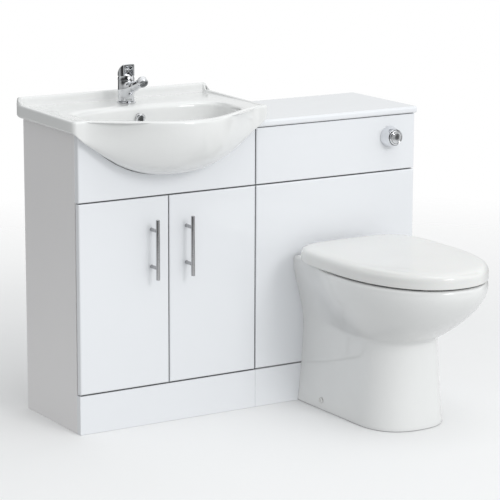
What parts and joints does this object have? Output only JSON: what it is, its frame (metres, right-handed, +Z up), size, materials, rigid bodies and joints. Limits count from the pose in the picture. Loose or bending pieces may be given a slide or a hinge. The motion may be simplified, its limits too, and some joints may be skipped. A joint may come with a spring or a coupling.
{
  "type": "toilet and basin combination unit",
  "caption": "Two joined bathroom cabinets, one with a semi-recessed basin and mixer tap over double doors, the other hiding a cistern behind a back-to-wall toilet pan with seat and lid.",
  "frame": {"origin": "centre of the whole unit's outline on the floor", "axes": "+X along the wall from the basin cabinet to the toilet cabinet, +Y towards the wall, +Z up; the fronts face -Y"},
  "size_m": [1.048, 0.868, 0.9066],
  "materials": {
    "board": "white melamine face on chipboard, satin",
    "gloss_front": "white gloss foil on fibreboard",
    "ceramic": "white glaze",
    "seat": "white gloss",
    "chrome": "polished",
    "satin_steel": "satin",
    "plated_steel": "zinc plated",
    "brass": "turned",
    "white_plastic": "moulded",
    "grey_plastic": "moulded",
    "red_plastic": "moulded",
    "black_rubber": "matt",
    "clear_rubber": "satin"
  },
  "bodies": {
    "cabinets_and_ceramics": {"vanity_left_side": "board", "vanity_right_side": "board", "vanity_base": "board", "vanity_rails": "board", "vanity_back_panel": "board", "vanity_fascia": "gloss_front", "vanity_plinth": "gloss_front", "vanity_shelf": "board", "shelf_pins": "plated_steel", "hinge_arms": "plated_steel", "basin": "ceramic", "overflow_ring": "chrome", "basin_waste": "chrome", "basin_waste_nut": "black_rubber", "bottle_trap": "white_plastic", "trap_cup": "white_plastic", "tap_base_ring": "chrome", "tap_body": "chrome", "tap_cartridge": "white_plastic", "tap_aerator": "grey_plastic", "tap_shank": "brass", "tap_backnut": "brass", "wc_left_side": "board", "wc_right_side": "board", "wc_rails": "board", "wc_upper_panel": "gloss_front", "wc_lower_panel": "gloss_front", "wc_plinth": "gloss_front", "wc_worktop": "gloss_front", "cistern_tank": "grey_plastic", "cistern_lid": "grey_plastic", "cistern_brackets": "plated_steel", "fill_valve": "white_plastic", "flush_valve": "white_plastic", "flush_pipe": "white_plastic", "flush_cone": "black_rubber", "flush_collar": "chrome", "pan": "ceramic", "pan_connector": "white_plastic", "pan_fixing_caps": "white_plastic", "seat_hinge_posts": "chrome", "seat_hinge_pins": "chrome"},
    "left_door": {"left_door": "gloss_front", "left_handle_bar": "satin_steel", "left_handle_posts": "satin_steel", "left_hinge_cups": "plated_steel"},
    "right_door": {"right_door": "gloss_front", "right_handle_bar": "satin_steel", "right_handle_posts": "satin_steel", "right_hinge_cups": "plated_steel"},
    "tap_stem": {"tap_stem": "chrome"},
    "tap_lever": {"tap_lever": "chrome"},
    "basin_plug": {"basin_plug": "chrome"},
    "flush_button_full": {"flush_button_full": "chrome"},
    "flush_button_half": {"flush_button_half": "chrome"},
    "flush_lift": {"flush_lift": "red_plastic"},
    "fill_float": {"fill_float": "white_plastic"},
    "seat_ring": {"seat_ring": "seat", "seat_buffers": "clear_rubber"},
    "seat_lid": {"seat_lid": "seat"}
  },
  "joints": [
    {"name": "left_door_swing", "type": "hinge", "parent": "cabinets_and_ceramics", "child": "left_door", "pos_m": [-0.493, 0.139, 0.35], "axis": [0, 0, -1], "range_deg": [0, 90]},
    {"name": "right_door_swing", "type": "hinge", "parent": "cabinets_and_ceramics", "child": "right_door", "pos_m": [0.01, 0.139, 0.35], "axis": [0, 0, 1], "range_deg": [0, 90]},
    {"name": "tap_turn", "type": "hinge", "parent": "cabinets_and_ceramics", "child": "tap_stem", "pos_m": [-0.2415, 0.356, 0.865], "axis": [0, 0, 1], "range_deg": [-45, 45]},
    {"name": "tap_lift", "type": "hinge", "parent": "tap_stem", "child": "tap_lever", "pos_m": [-0.2415, 0.356, 0.865], "axis": [-1, 0, 0], "range_deg": [0, 25]},
    {"name": "plug_lift", "type": "slide", "parent": "cabinets_and_ceramics", "child": "basin_plug", "axis": [0, 0, 1], "range_m": [0, 0.008]},
    {"name": "flush_full_press", "type": "slide", "parent": "cabinets_and_ceramics", "child": "flush_button_full", "axis": [0, 1, 0], "range_m": [0, 0.006], "stiffness_N_per_m": 300, "springref_m": -0.004},
    {"name": "flush_half_press", "type": "slide", "parent": "cabinets_and_ceramics", "child": "flush_button_half", "axis": [0, 1, 0], "range_m": [0, 0.006], "stiffness_N_per_m": 300, "springref_m": -0.004},
    {"name": "flush_lift_rise", "type": "slide", "parent": "cabinets_and_ceramics", "child": "flush_lift", "axis": [0, 0, 1], "range_m": [0, 0.015]},
    {"name": "float_rise", "type": "slide", "parent": "cabinets_and_ceramics", "child": "fill_float", "axis": [0, 0, 1], "range_m": [0, 0.06]},
    {"name": "lid_lift", "type": "hinge", "parent": "cabinets_and_ceramics", "child": "seat_lid", "pos_m": [0.271, 0.082, 0.42], "axis": [-1, 0, 0], "range_deg": [0, 87.5]},
    {"name": "ring_lift", "type": "hinge", "parent": "cabinets_and_ceramics", "child": "seat_ring", "pos_m": [0.271, 0.082, 0.42], "axis": [-1, 0, 0], "range_deg": [0, 85]}
  ],
  "couplings": [
    {"joint": "flush_lift_rise", "follows": "flush_full_press", "ratio": 2.5},
    {"joint": "ring_lift", "follows": "lid_lift", "ratio": 0.97}
  ]
}
